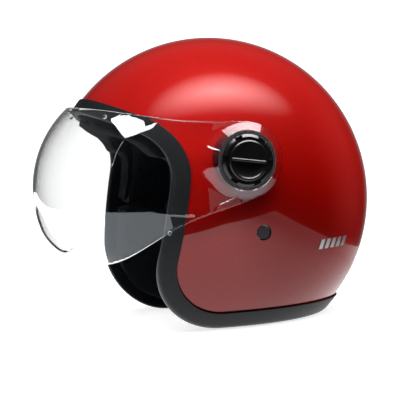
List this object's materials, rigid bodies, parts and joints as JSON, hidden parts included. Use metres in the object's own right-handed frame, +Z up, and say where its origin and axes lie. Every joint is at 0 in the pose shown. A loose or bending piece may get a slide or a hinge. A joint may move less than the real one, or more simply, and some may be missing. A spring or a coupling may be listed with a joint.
{
  "type": "open face motorcycle helmet",
  "caption": "Open face helmet: round glossy shell, rubber edging, foam and fabric lining, clear bubble visor on side pivots, and a buckled chin strap.",
  "frame": {"origin": "on the plane that the rubber rim rests on, under the middle of the length", "axes": "+Z up, the wearer looks along -Y, the wearer's left is +X"},
  "size_m": [0.2682, 0.2924, 0.242],
  "materials": {
    "shell_paint": "deep gloss metallic red",
    "rubber_edging": "satin moulded rubber",
    "foam": "moulded foam beads",
    "lining": "brushed knit",
    "clear_visor": "clear gloss, hard coated",
    "black_plastic": "satin moulded",
    "steel": "zinc plated",
    "webbing": "woven",
    "silver_mark": "printed film",
    "rivet_dark": "dark coated"
  },
  "bodies": {
    "root": {"shell": "shell_paint", "edge_trim": "rubber_edging", "eps_liner": "foam", "crown_liner": "lining", "brow_pad": "lining", "neck_roll": "lining", "cheek_pad_left": "lining", "cheek_pad_right": "lining", "pivot_base_left": "black_plastic", "pivot_base_right": "black_plastic", "wave_washer_left": "steel", "wave_washer_right": "steel", "pivot_ring_left": "black_plastic", "pivot_ring_right": "black_plastic", "pivot_screw_left": "steel", "pivot_screw_right": "steel", "pivot_nut_left": "steel", "pivot_nut_right": "steel", "strap_anchor_left": "steel", "strap_anchor_right": "steel", "strap_rivet_left": "rivet_dark", "strap_rivet_right": "rivet_dark", "strap_hanger_left": "webbing", "strap_hanger_right": "webbing", "link_rivet_left": "steel", "link_rivet_right": "steel", "side_mark_left": "silver_mark", "side_mark_right": "silver_mark"},
    "visor": {"visor": "clear_visor", "visor_bumpers": "clear_visor"},
    "cap_left": {"pivot_cap_left": "black_plastic"},
    "cap_right": {"pivot_cap_right": "black_plastic"},
    "chin_strap": {"strap_webbing_left": "webbing", "strap_webbing_right": "webbing", "buckle_base": "black_plastic", "buckle_pin": "steel", "buckle_tongue": "steel", "strap_slider": "black_plastic"},
    "buckle_lever": {"buckle_lever": "black_plastic"}
  },
  "joints": [
    {"name": "visor_hinge", "type": "hinge", "parent": "root", "child": "visor", "pos_m": [0, 0.0023, 0.1401], "axis": [-1, 0, 0], "range_deg": [0, 70]},
    {"name": "pivot_cap_left_turn", "type": "hinge", "parent": "root", "child": "cap_left", "pos_m": [0.132, 0.0023, 0.1401], "axis": [1, 0, 0], "range_deg": [0, 90]},
    {"name": "pivot_cap_right_turn", "type": "hinge", "parent": "root", "child": "cap_right", "pos_m": [-0.132, 0.0023, 0.1401], "axis": [-1, 0, 0], "range_deg": [0, 90]},
    {"name": "strap_swing", "type": "hinge", "parent": "root", "child": "chin_strap", "pos_m": [0, 0.0142, 0.017], "axis": [1, 0, 0], "range_deg": [-90, 180]},
    {"name": "lever_lift", "type": "hinge", "parent": "chin_strap", "child": "buckle_lever", "pos_m": [-0.014, 0.0682, 0.017], "axis": [0, 0, 1], "range_deg": [0, 30], "stiffness_Nm_per_rad": 0.05, "springref_deg": -11.46}
  ]
}
